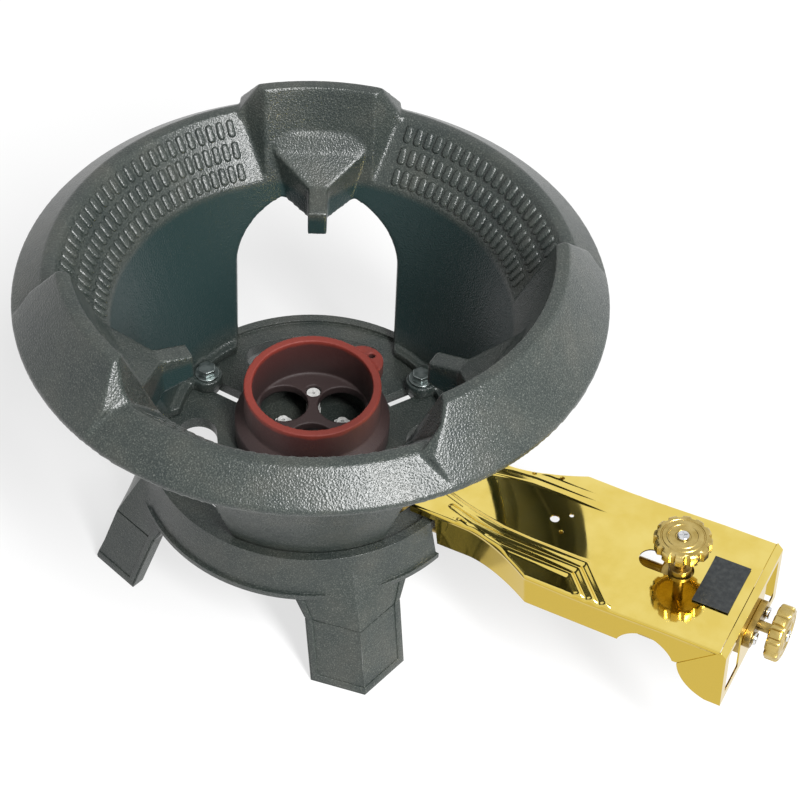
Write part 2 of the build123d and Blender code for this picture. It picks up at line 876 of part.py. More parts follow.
def rib(index, side):
    start = (rib_start, side * (rib_neck_side + rib_pitch / 2 * index))
    bend = (rib_bend_place, side * (rib_turn_side + rib_turn_step * index))
    turn = (rib_turn_place - rib_turn_step * index, bend[1])
    edge_side = box_half_width - rib_edge_margin
    edge = (turn[0] + edge_side - abs(turn[1]), side * edge_side)
    shape = Part()
    for low, high in ((start, bend), (bend, turn), (turn, edge)):
        run = Vector(*high) - Vector(*low)
        angle = math.degrees(math.atan2(run.Y, run.X))
        middle = ((low[0] + high[0]) / 2, (low[1] + high[1]) / 2, rib_height / 2 - sheet / 4)
        bar = Box(run.length + rib_width, rib_width, rib_height + sheet / 2)
        shape += Location(middle, (0, 0, angle)) * bar
    return shape


def valve_cover():
    channel = extrude(cover_plan(0), -foot_depth)
    channel -= Pos(0, 0, -sheet) * extrude(cover_plan(sheet), -foot_depth)
    channel -= brick((neck_start, neck_start + sheet), (-neck_half_width + sheet, neck_half_width - sheet),
                     (-foot_depth, -sheet))
    for index in range(rib_count):
        channel += rib(index, -1)
        channel += rib(index, 1)
    cover = channel & cover_side()
    slot_length_all = slot_end - slot_start
    slot = Pos((slot_start + slot_end) / 2, 0) * SlotOverall(slot_length_all, 2 * slot_half_width)
    cover -= extrude(slot, sheet, both=True)
    cover -= rod(vent_radius, -sheet, sheet, vent_place)
    for side in (-1, 1):
        cover -= rod(vent_pair_radius, -sheet, sheet, vent_pair_place, side * vent_pair_side)
    for place in edge_vent_places:
        cover -= rod(edge_vent_radius, -sheet, sheet, place, neck_half_width - edge_vent_inset)
    for side in (-1, 1):
        cover -= label_tab(side, tab_clearance)
    return cover


def end_plate():
    bevel_start = cover_end - bevel
    inner_face = cover_end - sheet
    half = box_half_width
    wall = brick((inner_face, cover_end), (-half, half), (-foot_depth, -bevel))
    strip = outline([
        (bevel_start + seam_gap, 0),
        (cover_end, -bevel),
        (inner_face, -bevel),
        (bevel_start + seam_gap, -sheet),
    ])
    plate = wall + extrude(Plane.XZ * strip, half, both=True)
    for side in (-1, 1):
        window = sorted((side * strap_half_width, side * (half - frame_width)))
        plate -= brick((inner_face, cover_end), window, (-foot_depth + frame_width, -frame_top))
    arch_end = arch_place + arch_half_span
    heel = ((arch_end + foot_toe) / 2 - bevel, -foot_heel_drop)
    flap_edges = [
        Line((bevel_start + seam_gap, -sheet), (arch_end + seam_gap, -wall_depth)),
        ThreePointArc((arch_end + seam_gap, -wall_depth), heel, (foot_toe, -foot_depth)),
        Line((foot_toe, -foot_depth), (inner_face, -foot_depth)),
        Line((inner_face, -foot_depth), (inner_face, -bevel)),
        Line((inner_face, -bevel), (bevel_start + seam_gap, -sheet)),
    ]
    flap = extrude(Plane.XZ * make_face(flap_edges), sheet)
    plate += [Pos(0, half, 0) * flap, Pos(0, -half + sheet, 0) * flap]
    hole = packing_bore + strap_hole_clearance
    plate -= drill((inner_face, 0, -end_axis_drop), (cover_end, 0, -end_axis_drop), hole)
    for side in (-1, 1):
        y = side * gland_screw_spacing / 2
        plate -= drill((inner_face, y, -end_axis_drop), (cover_end, y, -end_axis_drop),
                       gland_screw_radius + strap_hole_clearance)
    return plate


# Label plate with two tabs that hook through the cover
def label_tab(side, clearance):
    half = label_half_length - label_tab_inset + clearance
    inner = label_half_width - label_thickness - clearance
    y_range = sorted((side * inner, side * (label_half_width + clearance)))
    return brick((label_place - half, label_place + half), y_range, (-label_tab_length, label_thickness))


def label_plate():
    plate = brick((label_place - label_half_length, label_place + label_half_length),
                  (-label_half_width, label_half_width), (0, label_thickness))
    return plate + label_tab(-1, 0) + label_tab(1, 0)


# All pieces, each with its place
def pieces():
    barb_place = Location((inlet_place, body_half_width, -inlet_drop), (-90, 0, 0))
    standing = {
        "pot_ring": pot_ring(),
        "base_casting": base(),
        "ring_bolts": ring_bolts(),
        "ring_washers": ring_washers(),
        "ring_nuts": ring_nuts(),
        "burner_cup": burner_cup(),
        "cup_bolts": cup_bolts(),
        "gas_manifold": manifold(),
        "main_jets": main_jets(),
        "pilot_jet": pilot_jet(),
    }
    sloping = {
        "main_gas_pipe": gas_pipe(main_pipe_radius, main_pipe_bore, main_pipe_side, main_pipe_drop),
        "pilot_gas_pipe": gas_pipe(pilot_pipe_radius, pilot_pipe_bore, pilot_pipe_side, pilot_pipe_drop),
        "valve_body": valve_body(),
        "hose_barb": barb_place * hose_barb(),
        "barb_seal": barb_place * barb_seal(),
        "top_packing_nut": top_valve * packing_nut(),
        "end_gland": end_valve * end_gland(),
        "gland_screws": [end_valve * screw for screw in gland_screws()],
        "valve_cover": valve_cover(),
        "end_plate": end_plate(),
        "label_plate": label_plate(),
    }
    for name, place in valve_places.items():
        gap = knob_top_gap[name]
        sloping[name + "_packing"] = place * packing()
        sloping[name + "_needle"] = place * needle()
        sloping[name + "_stem"] = place * stem(gap)
        sloping[name + "_knob"] = place * knob(gap)
        sloping[name + "_knob_disc"] = place * knob_disc(gap)
        sloping[name + "_knob_screw"] = place * knob_screw(gap)
    placed = {}
    for name, shape in standing.items():
        placed[name] = as_compound(shape, Location())
    for name, shape in sloping.items():
        placed[name] = as_compound(shape, arm_place)
    return placed


def as_compound(shape, place):
    shapes = shape if isinstance(shape, list) else [shape]
    solids = [solid for one in shapes for solid in (place * one).solids()]
    return Compound(children=solids)


def write_parts():
    placed = pieces()
    boxes = [shape.bounding_box() for shape in placed.values()]
    middle = (min(box.min.X for box in boxes) + max(box.max.X for box in boxes)) / 2
    centred = Location((-middle, 0, 0))
    os.makedirs("parts", exist_ok=True)
    for name, shape in placed.items():
        export_step(centred * shape, f"parts/{name}.step")
    print("burner axis at x =", round(-middle, 4))
    for name, place in valve_places.items():
        joint = centred * arm_place * place
        axis = Plane(joint).z_dir
        position = [round(value, 4) for value in joint.position]
        print(name, "stem", position, [round(value, 6) for value in axis])


write_parts()
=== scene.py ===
import json
import math
import bpy
from mathutils import Matrix, Vector


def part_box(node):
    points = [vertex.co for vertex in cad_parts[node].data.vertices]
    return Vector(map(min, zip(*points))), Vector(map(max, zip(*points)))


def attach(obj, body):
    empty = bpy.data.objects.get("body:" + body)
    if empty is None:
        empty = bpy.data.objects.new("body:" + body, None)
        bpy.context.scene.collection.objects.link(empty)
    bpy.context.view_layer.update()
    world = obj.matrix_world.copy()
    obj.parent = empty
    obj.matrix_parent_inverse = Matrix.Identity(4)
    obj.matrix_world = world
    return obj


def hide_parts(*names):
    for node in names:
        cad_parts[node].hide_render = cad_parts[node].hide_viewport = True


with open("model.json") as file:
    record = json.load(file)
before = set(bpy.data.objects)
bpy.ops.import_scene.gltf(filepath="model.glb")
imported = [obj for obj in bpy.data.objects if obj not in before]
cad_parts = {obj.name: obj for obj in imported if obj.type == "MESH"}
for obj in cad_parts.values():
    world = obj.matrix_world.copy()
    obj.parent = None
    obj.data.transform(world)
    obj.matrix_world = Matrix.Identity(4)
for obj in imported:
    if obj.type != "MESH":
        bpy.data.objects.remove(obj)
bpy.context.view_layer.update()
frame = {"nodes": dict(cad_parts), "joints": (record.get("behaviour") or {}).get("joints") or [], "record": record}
nodes = frame["nodes"]
bpy.ops.object.select_all(action="DESELECT")
print("frame loaded")

# Helpers for numbers and pieces


def clamp(value, low=0.0, high=1.0):
    return max(low, min(high, value))


def placeFrom(along, across, up, origin):
    place = Matrix((along, across, up)).transposed().to_4x4()
    place.translation = origin
    return place


def activate(piece):
    bpy.ops.object.select_all(action="DESELECT")
    piece.select_set(True)
    bpy.context.view_layer.objects.active = piece


def applyModifier(piece, name, kind, **settings):
    activate(piece)
    modifier = piece.modifiers.new(name, kind)
    for key, value in settings.items():
        setattr(modifier, key, value)
    bpy.ops.object.modifier_apply(modifier=modifier.name)


def copyNode(node, name):
    piece = nodes[node].copy()
    piece.data = nodes[node].data.copy()
    piece.name = name
    piece.data.name = name
    piece.parent = None
    for key in list(piece.keys()):
        del piece[key]
    bpy.context.scene.collection.objects.link(piece)
    activate(piece)
    bpy.ops.object.mode_set(mode="EDIT")
    bpy.ops.mesh.select_all(action="SELECT")
    bpy.ops.mesh.remove_doubles(threshold=0.00001)
    bpy.ops.object.mode_set(mode="OBJECT")
    return piece


def placedCopy(shape, name, place):
    mesh = shape.data.copy()
    mesh.transform(place)
    piece = bpy.data.objects.new(name, mesh)
    bpy.context.scene.collection.objects.link(piece)
    return piece


def joinCopies(copies, name):
    bpy.ops.object.select_all(action="DESELECT")
    for piece in copies:
        piece.select_set(True)
    bpy.context.view_layer.objects.active = copies[0]
    bpy.ops.object.join()
    joined = bpy.context.object
    joined.name = name
    return joined


def finishPiece(piece, material, body, replaced=(), smoothAngle=None):
    piece.data.materials.clear()
    piece.data.materials.append(material)
    activate(piece)
    if smoothAngle is None:
        bpy.ops.object.shade_smooth()
    else:
        bpy.ops.object.shade_smooth_by_angle(angle=math.radians(smoothAngle))
    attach(piece, body)
    for node in replaced:
        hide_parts(node)


# Helpers for materials


def linear(text):
    values = []
    for start in (1, 3, 5):
        share = int(text[start:start + 2], 16) / 255
        values.append(share / 12.92 if share <= 0.04045 else ((share + 0.055) / 1.055) ** 2.4)
    return (*values, 1)


def addNode(tree, kind, inputs, **settings):
    node = tree.nodes.new(kind)
    for name, value in settings.items():
        setattr(node, name, value)
    for name, value in inputs.items():
        if isinstance(value, bpy.types.NodeSocket):
            tree.links.new(value, node.inputs[name])
        else:
            node.inputs[name].default_value = value
    return node


def newMaterial(name):
    material = bpy.data.materials.new(name)
    material.use_nodes = True
    tree = material.node_tree
    tree.nodes.clear()
    return material, tree


def objectPlace(tree):
    return addNode(tree, "ShaderNodeTexCoord", {}).outputs["Object"]


def noise(tree, place, scale, detail):
    inputs = {"Vector": place, "Scale": scale, "Detail": detail}
    return addNode(tree, "ShaderNodeTexNoise", inputs).outputs["Fac"]


def toneRamp(tree, value, stops):
    node = addNode(tree, "ShaderNodeValToRGB", {"Fac": value})
    ramp = node.color_ramp
    while len(ramp.elements) < len(stops):
        ramp.elements.new(0.5)
    for element, (place, text) in zip(ramp.elements, stops):
        element.position = place
        element.color = linear(text)
    return node.outputs["Color"]


def ranged(tree, value, span=(0.0, 1.0), result=(0.0, 1.0)):
    inputs = {"Value": value, "From Min": span[0], "From Max": span[1]}
    inputs.update({"To Min": result[0], "To Max": result[1]})
    return addNode(tree, "ShaderNodeMapRange", inputs).outputs["Result"]


def combined(tree, operation, *values):
    return addNode(tree, "ShaderNodeMath", dict(enumerate(values)), operation=operation).outputs["Value"]


def mixColours(tree, factor, first, second):
    node = addNode(tree, "ShaderNodeMix", {"Factor": factor, 6: first, 7: second}, data_type="RGBA")
    return node.outputs[2]  # sockets 6, 7 and 2 are the mix node's colours


def bumped(tree, height, strength, distance, under=None):
    inputs = {"Strength": strength, "Distance": distance, "Height": height}
    if under is not None:
        inputs["Normal"] = under
    return addNode(tree, "ShaderNodeBump", inputs).outputs["Normal"]


def closeMaterial(tree, inputs):
    shader = addNode(tree, "ShaderNodeBsdfPrincipled", inputs)
    addNode(tree, "ShaderNodeOutputMaterial", {"Surface": shader.outputs["BSDF"]})


# Places shared by several pieces

ringLow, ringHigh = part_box("pot_ring")
axisX = (ringLow.x + ringHigh.x) / 2  # the burner's upright axis
burnerPlace = Matrix.Translation((axisX, 0, 0))
joints = {joint["name"]: joint for joint in frame["joints"]}
armUp = Vector(joints["top_knob_turn"]["axis"])  # square to the cover's top
armAlong = Vector(joints["end_knob_turn"]["axis"])  # out along the arm
armSide = armUp.cross(armAlong)
topStem = Vector(joints["top_knob_turn"]["pos_m"])
topStemPlace = (0.241, -0.003)  # along the arm, and above the cover's top
armStart = topStem - armAlong * topStemPlace[0] - armUp * topStemPlace[1]
armPlace = placeFrom(armAlong, armSide, armUp, armStart)

# Materials

# Hammered grey enamel on cast iron: pebbled gloss over dark green-grey, with painted shade inside the ring's wall:
# a darker teal there and a weaker sheen
ringWall = {"heights": (0.084, 0.190), "reaches": (0.090, 0.118), "edge": (-0.001, 0.001),
            "fadeIn": (0.088, 0.104), "fadeOut": (0.190, 0.186)}
hammeredPaint, tree = newMaterial("hammeredPaintOnIron")
place = objectPlace(tree)
pebble = addNode(tree, "ShaderNodeTexVoronoi", {"Vector": place, "Scale": 1050, "Randomness": 1.0},
                 feature="SMOOTH_F1").outputs["Distance"]
grain = noise(tree, place, scale=1300, detail=2)
cloud = noise(tree, place, scale=38, detail=4)
tone = toneRamp(tree, cloud, [(0.3, "#1d2524"), (0.5, "#292f2c"), (0.72, "#393b36")])
speck = toneRamp(tree, grain, [(0.38, "#151a19"), (0.56, "#383d3a"), (0.72, "#747770")])
paint = mixColours(tree, 0.35, tone, speck)
places = addNode(tree, "ShaderNodeSeparateXYZ", {"Vector": place}).outputs
level = addNode(tree, "ShaderNodeCombineXYZ", {"X": places["X"], "Y": places["Y"]}).outputs["Vector"]
reach = addNode(tree, "ShaderNodeVectorMath", {0: level, 1: (axisX, 0, 0)},
                operation="DISTANCE").outputs["Value"]
wallReach = ranged(tree, places["Z"], ringWall["heights"], ringWall["reaches"])
inside = combined(tree, "SUBTRACT", wallReach, reach)
inside = ranged(tree, inside, ringWall["edge"])
above = ranged(tree, places["Z"], ringWall["fadeIn"])
below = ranged(tree, places["Z"], ringWall["fadeOut"])
wallShade = combined(tree, "MULTIPLY", inside, above)
wallShade = combined(tree, "MULTIPLY", wallShade, below)
# painted shade: the inside of the ring's wall is mixed towards dark teal and given less specular
paintWithWallShade = mixColours(tree, wallShade, paint, linear("#1d2c2c"))
gloss = ranged(tree, wallShade, result=(0.44, 0.26))
normal = bumped(tree, grain, strength=0.4, distance=0.0003)
normal = bumped(tree, pebble, strength=0.6, distance=0.0004, under=normal)
closeMaterial(tree, {"Base Color": paintWithWallShade, "Roughness": 0.3, "Specular IOR Level": gloss, "Normal": normal})

# Red oxide primer: chalky, brightest on the rim, with painted shade darkening it further down towards the foot,
# broken by random patches of tone
cupHeights = (0.084, 0.126)  # foot and rim
redOxide, tree = newMaterial("redOxidePrimer")
place = objectPlace(tree)
height = addNode(tree, "ShaderNodeSeparateXYZ", {"Vector": place}).outputs["Z"]
rise = ranged(tree, height, cupHeights)
tonePatches = noise(tree, place, scale=90, detail=5)
patchShare = 0.08
shadeAndPatches = combined(tree, "MULTIPLY_ADD", tonePatches, patchShare, rise)
# painted shade: the height share darkens the primer from the rim down to the foot, and the patches move it a
# little
tone = toneRamp(tree, shadeAndPatches, [(0.08, "#201a1a"), (0.5, "#30201f"), (0.955, "#43201e"), (1.0, "#74291f")])
grain = noise(tree, place, scale=900, detail=3)
normal = bumped(tree, grain, strength=0.5, distance=0.0004)
closeMaterial(tree, {"Base Color": tone, "Roughness": 0.62, "Normal": normal})

# Gold lacquered sheet: a near mirror, its upright walls painted darker than its top as painted shade, with faint
# marks that blur it in patches
goldSheet, tree = newMaterial("goldLacqueredSheet")
place = objectPlace(tree)
marks = noise(tree, place, scale=60, detail=5)
rough = ranged(tree, marks, (0.3, 0.7), (0.03, 0.09))
tone = toneRamp(tree, marks, [(0.35, "#ecd67a"), (0.65, "#e4cb68")])
facing = addNode(tree, "ShaderNodeNewGeometry", {}).outputs["True Normal"]
facing = addNode(tree, "ShaderNodeSeparateXYZ", {"Vector": facing}).outputs["Z"]
# painted shade: faces that turn from upright get the darker wall tone, standing in for the dimmer floor they
# reflect
lacquerWithShadedWalls = mixColours(tree, ranged(tree, facing, (0.3, 0.8)), linear("#c4a947"), tone)
wave = noise(tree, place, scale=34, detail=1)
normal = bumped(tree, wave, strength=0.12, distance=0.001)
closeMaterial(tree, {"Base Color": lacquerWithShadedWalls, "Metallic": 1.0, "Roughness": rough, "Normal": normal})

# Cast and plated brass of the knobs: soft gleam, with a fine sandy skin
knobBrass, tree = newMaterial("castBrassOfKnobs")
place = objectPlace(tree)
wear = noise(tree, place, scale=160, detail=4)
tone = toneRamp(tree, wear, [(0.3, "#a8904e"), (0.7, "#c6b070")])
sand = noise(tree, place, scale=1100, detail=2)
normal = bumped(tree, sand, strength=0.25, distance=0.0003)
closeMaterial(tree, {"Base Color": tone, "Metallic": 1.0, "Roughness": 0.27, "Normal": normal})

# Even finishes: one cloudy tone each
evenFinishes = {
    "raw_brass": {"name": "machinedBrass", "scale": 120, "detail": 5, "metal": 1.0, "rough": 0.34,
                  "stops": [(0.3, "#7d6a3e"), (0.6, "#b39a5a")]},  # darker tarnish in patches
    "zinc": {"name": "zincPlating", "scale": 260, "detail": 4, "metal": 1.0, "rough": 0.33,
             "stops": [(0.32, "#6f7775"), (0.66, "#a3abaa")]},  # cool grey with a cloudy bloom
    "matt_zinc": {"name": "mattDieCastZinc", "scale": 500, "detail": 4, "metal": 0.0, "rough": 0.5,
                  "stops": [(0.3, "#b4b4b1"), (0.7, "#d6d6d4")]},  # pale, so it shows in the dark ports
    "chrome": {"name": "chromePlating", "scale": 300, "detail": 3, "metal": 1.0, "rough": 0.12,
               "stops": [(0.35, "#c2c4c6"), (0.65, "#e2e3e4")]},  # a clean mirror with greyer patches
    "black_plate": {"name": "satinBlackPlate", "scale": 420, "detail": 6, "metal": 0.0, "rough": 0.36,
                    "stops": [(0.4, "#15191b"), (0.75, "#2b2e2e")]},  # soft sheen and a little dust
    "packing": {"name": "graphitePacking", "scale": 1500, "detail": 3, "metal": 0.0, "rough": 0.7,
                "stops": [(0.3, "#1c1d1e"), (0.7, "#3a3b3c")]},  # fibrous and matt
    "seal": {"name": "rubberSeal", "scale": 700, "detail": 3, "metal": 0.0, "rough": 0.66,
             "stops": [(0.3, "#141414"), (0.7, "#262626")]},  # soft black with a faint grey bloom
}
finishes = {
    "iron_paint": hammeredPaint, "red_oxide": redOxide, "gold_sheet": goldSheet, "knob_brass": knobBrass,
}
for slot, finish in evenFinishes.items():
    material, tree = newMaterial(finish["name"])
    cloud = noise(tree, objectPlace(tree), finish["scale"], finish["detail"])
    tone = toneRamp(tree, cloud, finish["stops"])
    closeMaterial(tree, {"Base Color": tone, "Metallic": finish["metal"], "Roughness": finish["rough"]})
    finishes[slot] = material
for subpart in frame["record"]["subparts"]:
    mesh = nodes[subpart["node"]].data
    mesh.materials.clear()
    mesh.materials.append(finishes[subpart["material_slot"]])
print("materials made")

# Castings: the CAD form with the rounded edges of sand casting

castings = {
    "pot_ring": {"name": "castPotRing", "grain": 0.0010, "smooth": 8, "keep": 0.22, "slot": "iron_paint"},
    "burner_cup": {"name": "castBurnerCup", "grain": 0.0007, "smooth": 6, "keep": 0.35, "slot": "red_oxide"},
}
coarser = 1
castCounts = []
for node, casting in castings.items():
    piece = copyNode(node, casting["name"])
    applyModifier(piece, "cast", "REMESH", mode="VOXEL", voxel_size=casting["grain"] * coarser)
    applyModifier(piece, "soften", "SMOOTH", factor=0.5, iterations=casting["smooth"])
    applyModifier(piece, "thin", "DECIMATE", ratio=casting["keep"])
    finishPiece(piece, finishes[casting["slot"]], "frame", [node])
    castCounts.append(len(piece.data.polygons))
print("castings made", castCounts)

# Oval pads on the ring's inner slope, three rows in each sector between the blocks

pads = {"rows": 3, "step": 2.8, "width": 0.0050, "length": 0.0112, "rowStep": 0.0134, "firstRow": 0.0095,
        "topRadius": 0.141, "topHeight": 0.2245, "lowRadius": 0.114, "lowHeight": 0.190,
        "height": 0.0028, "round": 0.0012, "corners": 12}
padSectors = [  # from, to, and rise above the slope
    (40.0, 96.6, 0.0014), (143.4, 216.6, 0.0014), (263.4, 320.0, 0.0004),
]
bpy.ops.mesh.primitive_circle_add(vertices=pads["corners"], radius=pads["width"] / 2, fill_type="NGON")
padShape = bpy.context.object
for vertex in padShape.data.vertices:
    vertex.co.x += math.copysign((pads["length"] - pads["width"]) / 2, vertex.co.x)
bpy.ops.object.mode_set(mode="EDIT")
bpy.ops.mesh.select_all(action="SELECT")
bpy.ops.mesh.extrude_region_move(TRANSFORM_OT_translate={"value": (0, 0, pads["height"])})
bpy.ops.mesh.bevel(offset=pads["round"], segments=2, affect="EDGES")
bpy.ops.object.mode_set(mode="OBJECT")
slopeTop = Vector((pads["topRadius"], 0, pads["topHeight"]))
slopeLow = Vector((pads["lowRadius"], 0, pads["lowHeight"]))
slopeDown = (slopeLow - slopeTop).normalized()
slopeOut = Vector((slopeDown.z, 0, -slopeDown.x))
padCopies = []
for first, last, rise in padSectors:
    columns = round((last - first) / pads["step"]) + 1
    for column in range(columns):
        angle = first + (last - first) * column / (columns - 1)
        turn = Matrix.Rotation(math.radians(angle), 4, "Z")
        for row in range(pads["rows"]):
            down = pads["firstRow"] + row * pads["rowStep"]
            middle = slopeTop + slopeDown * down - slopeOut * (pads["height"] - rise)
            place = placeFrom(slopeDown, slopeOut.cross(slopeDown), slopeOut, middle)
            padCopies.append(placedCopy(padShape, "ovalPad", burnerPlace @ turn @ place))
bpy.data.objects.remove(padShape)
ovalPads = joinCopies(padCopies, "ovalPads")
finishPiece(ovalPads, hammeredPaint, "frame", smoothAngle=50)
print("oval pads made", len(ovalPads.data.polygons))

# Pressed valve cover: one sheet with bent sides, pressed ribs, holes and a slot

cover = {
    "start": 0.084, "end": 0.2815, "sheet": 0.001, "bend": 0.0022,
    "neckHalf": 0.0275, "boxHalf": 0.043, "flareStart": 0.122, "flareEnd": 0.166, "flarePower": 1.6,
    "tongueEnd": 0.101, "tongueDepth": 0.0038, "wallDepth": 0.024,
    "archStart": 0.223, "archEnd": 0.2555, "archDepth": 0.0115, "archPower": 0.7,
    "seamStart": 0.258, "seamDepth": 0.0026, "hemDrop": 0.0009, "hemStart": 0.6, "hem": 0.00045,
    "panelHalf": 0.020, "stripFall": 0.08, "stripEnd": 0.250, "stripFade": 0.060,
    "neckBend": 0.207, "neckRise": 0.034, "neckRound": 0.006,
    "ribRise": {-1: 0.0016, 1: 0.00022},  # higher on the near side
    "ribHalf": {-1: 0.0030, 1: 0.0013},  # and wider there
}
coverRibs = [  # along and to the side
    [(0.100, 0.0110), (0.114, 0.0150), (0.1265, 0.0176), (0.141, 0.0200), (0.159, 0.0206), (0.194, 0.0203),
     (0.2165, 0.0425)],
    [(0.108, 0.0190), (0.1253, 0.0238), (0.141, 0.0256), (0.161, 0.0257), (0.1915, 0.0257), (0.2085, 0.0425)],
    [(0.116, 0.0262), (0.1224, 0.0284), (0.147, 0.0311), (0.164, 0.0311), (0.189, 0.0312), (0.2005, 0.0425)],
]
coverHoles = [  # along, to the side, radius and half the straight part of the slot
    (0.1635, 0.0015, 0.00275, 0), (0.171, 0.0082, 0.0014, 0), (0.171, -0.0058, 0.0014, 0),
    (0.1535, 0.0325, 0.0015, 0), (0.1375, 0.0278, 0.0015, 0), (0.233, 0, 0.007, 0.009),
]
coverSteps = {"along": 290, "top": 120, "bend": 5, "wall": 12}


def coverHalf(along):
    share = clamp((along - cover["flareStart"]) / (cover["flareEnd"] - cover["flareStart"]))
    return cover["neckHalf"] + (cover["boxHalf"] - cover["neckHalf"]) * share ** cover["flarePower"]


def coverDepth(along):
    if along < cover["tongueEnd"]:
        return cover["tongueDepth"]
    if along > cover["seamStart"]:
        share = (cover["end"] - along) / (cover["end"] - cover["seamStart"])
        return cover["seamDepth"] + (cover["wallDepth"] - cover["seamDepth"]) * clamp(share)
    if cover["archStart"] < along < cover["archEnd"]:
        share = (along - cover["archStart"]) / (cover["archEnd"] - cover["archStart"])
        arch = math.sin(math.pi * share) ** cover["archPower"]
        return cover["wallDepth"] - (cover["wallDepth"] - cover["archDepth"]) * arch
    return cover["wallDepth"]


def panelDrop(along, side):
    fade = clamp((cover["stripEnd"] - along) / cover["stripFade"])
    strip = cover["stripFall"] * max(0, side - cover["panelHalf"]) * fade
    inward = cover["neckBend"] - along
    return strip - cover["neckRise"] * (math.hypot(inward, cover["neckRound"]) + inward) / 2


def ribRise(along, side, sign):
    rise = 0.0
    ribHalf = cover["ribHalf"][sign]
    for rib in coverRibs:
        gap = 1.0
        for (startX, startY), (endX, endY) in zip(rib, rib[1:]):
            spanX = endX - startX
            spanY = endY - startY
            share = ((along - startX) * spanX + (side - startY) * spanY) / (spanX ** 2 + spanY ** 2)
            share = clamp(share)
            gap = min(gap, math.hypot(along - startX - spanX * share, side - startY - spanY * share))
        if gap < ribHalf:
            rise = max(rise, cover["ribRise"][sign] * (0.5 + 0.5 * math.cos(math.pi * gap / ribHalf)))
    return rise


def coverPoint(along, step, sign):
    half = coverHalf(along)
    flat = half - cover["bend"]
    topHalf = coverSteps["top"] / 2
    if step <= topHalf:
        side = flat * step / topHalf
        height = ribRise(along, side, sign) - panelDrop(along, side)
    elif step <= topHalf + coverSteps["bend"]:
        angle = math.pi / 2 * (step - topHalf) / coverSteps["bend"]
        side = flat + cover["bend"] * math.sin(angle)
        height = cover["bend"] * (math.cos(angle) - 1) + ribRise(along, flat, sign) * math.cos(angle)
        height -= panelDrop(along, side)
    else:
        share = ((step - topHalf - coverSteps["bend"]) / coverSteps["wall"]) ** 2
        wallTop = -cover["bend"] - panelDrop(along, half)
        height = wallTop + (-max(coverDepth(along), -wallTop) - wallTop) * share
        side = half - cover["hem"] * clamp((wallTop - height) / cover["hemDrop"] - cover["hemStart"])
    return (along, sign * side, height)


acrossCount = coverSteps["top"] + 2 * coverSteps["bend"] + 2 * coverSteps["wall"]
bpy.ops.mesh.primitive_grid_add(x_subdivisions=coverSteps["along"], y_subdivisions=acrossCount, size=2)
pressedCover = bpy.context.object
pressedCover.name = "pressedValveCover"
mesh = pressedCover.data
for vertex in mesh.vertices:
    along = cover["start"] + (cover["end"] - cover["start"]) * (vertex.co.x + 1) / 2
    step = abs(vertex.co.y) * acrossCount / 2
    vertex.co = coverPoint(along, step, math.copysign(1, vertex.co.y))
cutAway = set()
for along, side, radius, reach in coverHoles:
    inside = set()
    for vertex in mesh.vertices:
        middle = clamp(vertex.co.x, along - reach, along + reach)
        if math.hypot(vertex.co.x - middle, vertex.co.y - side) < radius:
            inside.add(vertex.index)
    around = set()
    for face in mesh.polygons:
        if not inside.isdisjoint(face.vertices):
            around.update(face.vertices)
    for index in around - inside:
        spot = mesh.vertices[index].co
        middle = clamp(spot.x, along - reach, along + reach)
        pull = radius / math.hypot(spot.x - middle, spot.y - side)  # onto the hole's edge
        spot.x = middle + (spot.x - middle) * pull
        spot.y = side + (spot.y - side) * pull
    cutAway |= inside
for group in (mesh.polygons, mesh.edges):
    group.foreach_set("select", [False] * len(group))
mesh.vertices.foreach_set("select", [vertex.index in cutAway for vertex in mesh.vertices])
activate(pressedCover)
bpy.ops.object.mode_set(mode="EDIT")
bpy.ops.mesh.select_mode(type="VERT")
bpy.ops.mesh.delete(type="VERT")
bpy.ops.object.mode_set(mode="OBJECT")
applyModifier(pressedCover, "thicken", "SOLIDIFY", thickness=cover["sheet"], offset=-1)
pressedCover.data.transform(armPlace)
finishPiece(pressedCover, goldSheet, "frame", ["valve_cover"], smoothAngle=40)
print("cover made", len(pressedCover.data.polygons))

# Legs: a raised frame round each leg's outer faces and a crease across the knee

legs = {
    "angles": (45, 135, 225, 315), "knee": 0.042, "hip": 0.080,
    "footRidge": 0.139, "kneeRidge": 0.123, "hipRidge": 0.0993,
    "fold": 0.018, "hipFold": 0.009, "half": 0.029, "hipHalf": 0.042,
    "sheet": 0.0014, "round": 0.0004, "stations": (0.060, 0.051, 0.042),
    "outer": 0.965, "inner": 0.85, "lowOuter": 0.0012, "lowInner": 0.0052,
    "creaseDepth": 0.0009, "creaseHigh": 0.0010, "creaseReach": 0.006, "creaseWide": 1.1,
}


def onLeg(share, height):
    above = clamp((height - legs["knee"]) / (legs["hip"] - legs["knee"]))
    below = clamp(height / legs["knee"])
    ridge = legs["footRidge"] + (legs["kneeRidge"] - legs["footRidge"]) * below
    ridge += (legs["hipRidge"] - legs["kneeRidge"]) * above
    fold = legs["fold"] + (legs["hipFold"] - legs["fold"]) * above
    half = legs["half"] + (legs["hipHalf"] - legs["half"]) * above
    return (ridge - abs(share) * fold, share * half, height)


